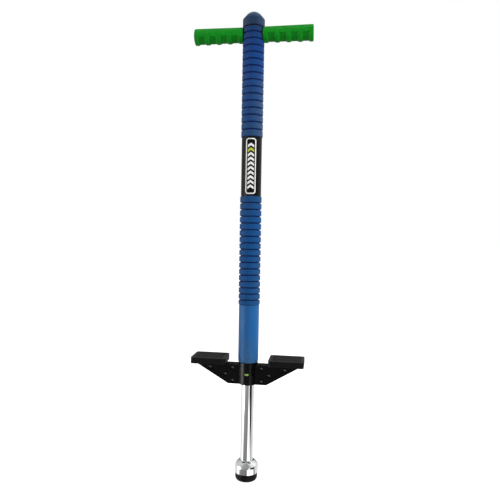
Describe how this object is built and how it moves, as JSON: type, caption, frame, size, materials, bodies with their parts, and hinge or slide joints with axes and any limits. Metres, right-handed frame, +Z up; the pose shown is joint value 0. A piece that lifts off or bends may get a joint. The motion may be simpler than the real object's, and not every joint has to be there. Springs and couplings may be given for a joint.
{
  "type": "pogo stick",
  "caption": "Spring pogo stick: foam-covered steel tube with crossbar grips, bolted footrests and a sliding, turning chrome plunger on a rubber foot.",
  "frame": {"origin": "centre of the rubber foot's sole, on the ground, with the spring at its rest length", "axes": "+Z up along the tube, +X along the crossbar, -Y the front, where the footrest screw heads are"},
  "size_m": [0.2376, 0.057, 0.9372],
  "materials": {
    "black_paint": "satin",
    "black_plastic": "satin",
    "tread_plastic": "matte",
    "foam": "matte",
    "sleeve_plastic": "satin",
    "cap_plastic": "satin",
    "grip_rubber": "satin",
    "label_film": "satin",
    "key_plastic": "satin",
    "nylon": "satin",
    "chrome": "polished",
    "zinc": "satin",
    "spring_steel": "satin",
    "foot_rubber": "matte",
    "black_oxide": "satin"
  },
  "bodies": {
    "frame": {"frame_tube": "black_paint", "handlebar_tube": "black_paint", "grip_left": "grip_rubber", "grip_right": "grip_rubber", "top_cap": "cap_plastic", "foam_upper": "foam", "label_sleeve": "black_plastic", "label_wrap": "label_film", "foam_lower": "foam", "smooth_sleeve": "sleeve_plastic", "footrest_shell_front": "black_plastic", "footrest_shell_rear": "black_plastic", "gusset_left": "black_paint", "gusset_right": "black_paint", "tread_left": "tread_plastic", "tread_right": "tread_plastic", "footrest_screw_left_1": "black_oxide", "footrest_nut_left_1": "black_oxide", "footrest_screw_left_2": "black_oxide", "footrest_nut_left_2": "black_oxide", "footrest_screw_left_3": "black_oxide", "footrest_nut_left_3": "black_oxide", "footrest_screw_left_4": "black_oxide", "footrest_nut_left_4": "black_oxide", "footrest_screw_right_1": "black_oxide", "footrest_nut_right_1": "black_oxide", "footrest_screw_right_2": "black_oxide", "footrest_nut_right_2": "black_oxide", "footrest_screw_right_3": "black_oxide", "footrest_nut_right_3": "black_oxide", "footrest_screw_right_4": "black_oxide", "footrest_nut_right_4": "black_oxide", "lower_bush": "black_plastic", "bush_key": "key_plastic", "rebound_bumper": "foot_rubber", "main_spring": "spring_steel", "upper_spring_seat": "nylon", "spring_stop_pin": "zinc"},
    "spring_seat": {"thrust_washer": "nylon"},
    "plunger": {"shaft": "chrome", "piston": "nylon", "piston_pin": "zinc", "shaft_plug": "zinc", "foot_cup": "chrome", "rubber_tip": "foot_rubber", "tip_washer": "zinc", "tip_screw": "zinc"}
  },
  "joints": [
    {"name": "spring_travel", "type": "slide", "parent": "frame", "child": "spring_seat", "axis": [0, 0, 1], "range_m": [0, 0.1], "stiffness_N_per_m": 7000, "springref_m": -0.015, "deforming": ["main_spring"]},
    {"name": "plunger_spin", "type": "hinge", "parent": "spring_seat", "child": "plunger", "pos_m": [0, 0, 0], "axis": [0, 0, 1], "continuous": true}
  ]
}
